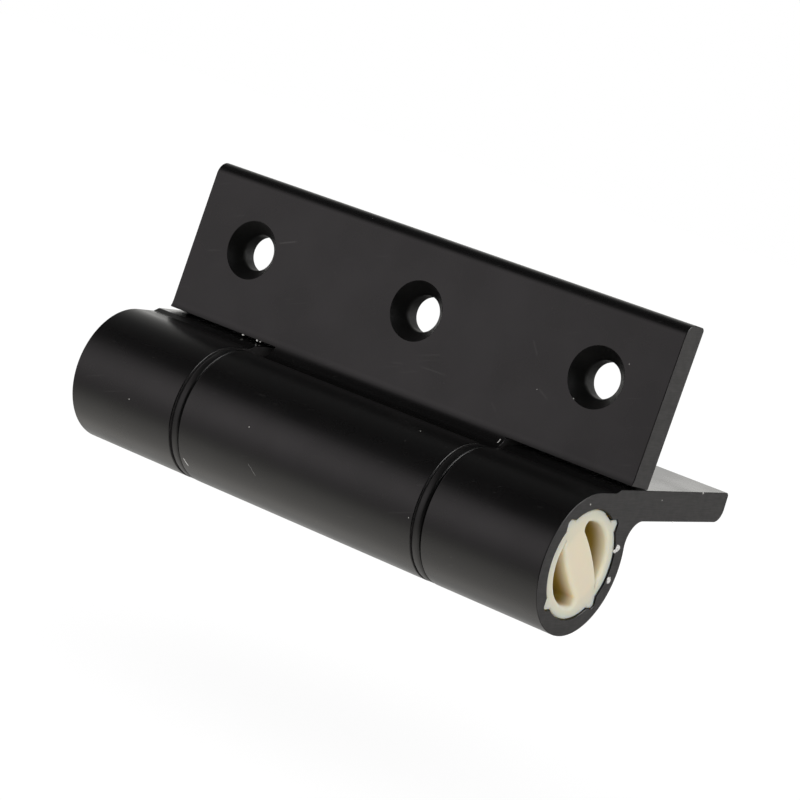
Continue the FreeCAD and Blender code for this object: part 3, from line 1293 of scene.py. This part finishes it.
def coil_path():
    # The wire's line as places along and round the axis: a straight leg, the coils, and the other leg.
    turns = round((coil_outer - coil_inner) / coil_pitch)
    path = [(coil_inner - leg_length, 0.0)]
    for number in range(turns * POINTS_PER_TURN + 1):
        share = number / (turns * POINTS_PER_TURN)
        path.append((coil_inner + (coil_outer - coil_inner) * share, 360.0 * turns * share))
    path.append((coil_outer + leg_length, 360.0 * turns))
    points = []
    for x, degrees in path:
        y, z = turned((coil_radius, 0.0), leg_angle + degrees)
        points.append((x, y, z))
    return points


def coil(name, node, turn):
    piece = wire(name, coil_path(), wire_radius)
    turn_mesh(piece, hinge_place @ turn)
    piece.data.shade_smooth()
    piece.data.materials.append(steel_finish)
    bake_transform(piece)
    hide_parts(node)
    print(name, "has", len(piece.data.polygons), "faces")


coil("right_coil", "right_spring", Matrix.Identity(4))
coil("left_coil", "left_spring", END_FOR_END)

# %% [markdown]
# ## The anchor keeps its CAD shape
# The anchor sits deep in the centre knuckle, and its CAD solid is already right. It only takes the
# cream finish of the plugs.

# %% Anchor
anchor = frame["nodes"]["centre_anchor"]
anchor.data.materials.clear()
anchor.data.materials.append(cream_finish)
print("anchor finish", anchor.data.materials[0].name)

# %% [markdown]
# ## Crumbs, lint and painted light spots
# The hinge is clean but not spotless: white crumbs sit at the edges of its parts, a fleck stands at the
# foot of the upright leaf, and two threads of lint lie on the knuckle. The same white lumps also stand in
# for light: a painted glint on the rim of a screw hole, and painted light where light shows through under
# the foot of the upright leaf. A lump is a small ball whose points are moved in and out at random, always
# from the same seed, and then rounded by subdivision. No point may pass the end of the hinge, so that the
# model keeps its length. The fleck and the threads are short thin wires.

# %% Finish of crumbs and painted light spots
LUMP_WHITE = (0.82, 0.81, 0.78, 1.0)
LUMP_GREY = (0.5, 0.49, 0.47, 1.0)
LUMP_MOTTLE_PER_MM = 4.0
LUMP_MOTTLE_SPAN = (0.4, 0.6)
LUMP_ROUGH = 0.8


# The white of the crumbs, also used for the painted light spots and the lint.
def lump_white():
    material, tree, shader = new_finish("lump_white")
    mottle = ease(tree, noise(tree, millimetres(tree), LUMP_MOTTLE_PER_MM), *LUMP_MOTTLE_SPAN)
    colour = blend_colours(tree, mottle, LUMP_WHITE, LUMP_GREY)
    set_finish(tree, shader, base_color=colour, roughness=LUMP_ROUGH)
    return material


lump_finish = lump_white()
print("finish", lump_finish.name)

# %% Crumbs and painted light spots
# Each lump has its place on the ruler and its size across.
FRAME_CRUMBS = (
    ((49.95, 9.5, 2.7), 1.35),
    ((49.95, 8.95, 2.2), 0.65),
    ((49.95, 9.65, -2.62), 1.2),
    ((49.93, 32.0, 12.25), 0.35),
    ((49.9, 24.7, 7.25), 0.25),
)
# Painted light on the door: white lumps that stand in for bright light, not crumbs.
DOOR_PAINTED_LIGHT_SPOTS = (
    # A painted glint on the rim of a screw hole.
    ((34.31, 9.6, 22.69), 0.2),
    # Painted light where light shows through under the foot of the upright leaf.
    ((-32.6, 8.55, 12.88), 0.4),
    ((-29.3, 8.55, 12.87), 0.4),
    ((-28.6, 8.55, 12.85), 0.25),
)
LUMPINESS = 0.3
LUMP_SEED = 5
LUMP_DETAIL = 2
lump_chance = random.Random(LUMP_SEED)


def dirt(piece, body):
    piece.data.transform(hinge_place)
    piece.data.shade_smooth()
    piece.data.materials.append(lump_finish)
    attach(piece, body)


# A white lump, used for the real crumbs and for the painted light spots.
def white_lump(name, spot, size, body):
    work = bmesh.new()
    bmesh.ops.create_icosphere(work, subdivisions=LUMP_DETAIL, radius=size / 2.0)
    for point in work.verts:
        swelling = lump_chance.uniform(1.0 - LUMPINESS, 1.0 + LUMPINESS)
        point.co = point.co * swelling + Vector(spot)
        point.co.x = min(point.co.x, hinge_end - HAIR)
    piece = mesh_object(name, work)
    dirt(piece, body)
    piece.modifiers.new("rounded", "SUBSURF").render_levels = 1


for body, white_lumps in (("frame", FRAME_CRUMBS), ("door", DOOR_PAINTED_LIGHT_SPOTS)):
    for number, (spot, size) in enumerate(white_lumps):
        white_lump(f"{body}_crumb_{number + 1}", spot, size, body)
print(len(FRAME_CRUMBS) + len(DOOR_PAINTED_LIGHT_SPOTS), "white_lumps")

# %% Lint
# Each thread has its name, its radius and the places that it runs through.
THREADS = (
    ("foot_fleck", 0.06, ((24.2, 7.3, 11.68), (24.3, 7.6, 12.05), (24.25, 7.95, 12.45))),
    ("knuckle_lint", 0.07, ((-24.1, -9.3, -7.35), (-23.8, -8.85, -7.9), (-23.45, -8.3, -8.45))),
    ("knuckle_hair", 0.01, ((-9.4, -11.35, -3.4), (-8.5, -11.2, -4.0), (-7.6, -10.8, -4.9))),
)

for name, radius, points in THREADS:
    dirt(wire(name, points, radius), "door")
print(len(THREADS), "threads")
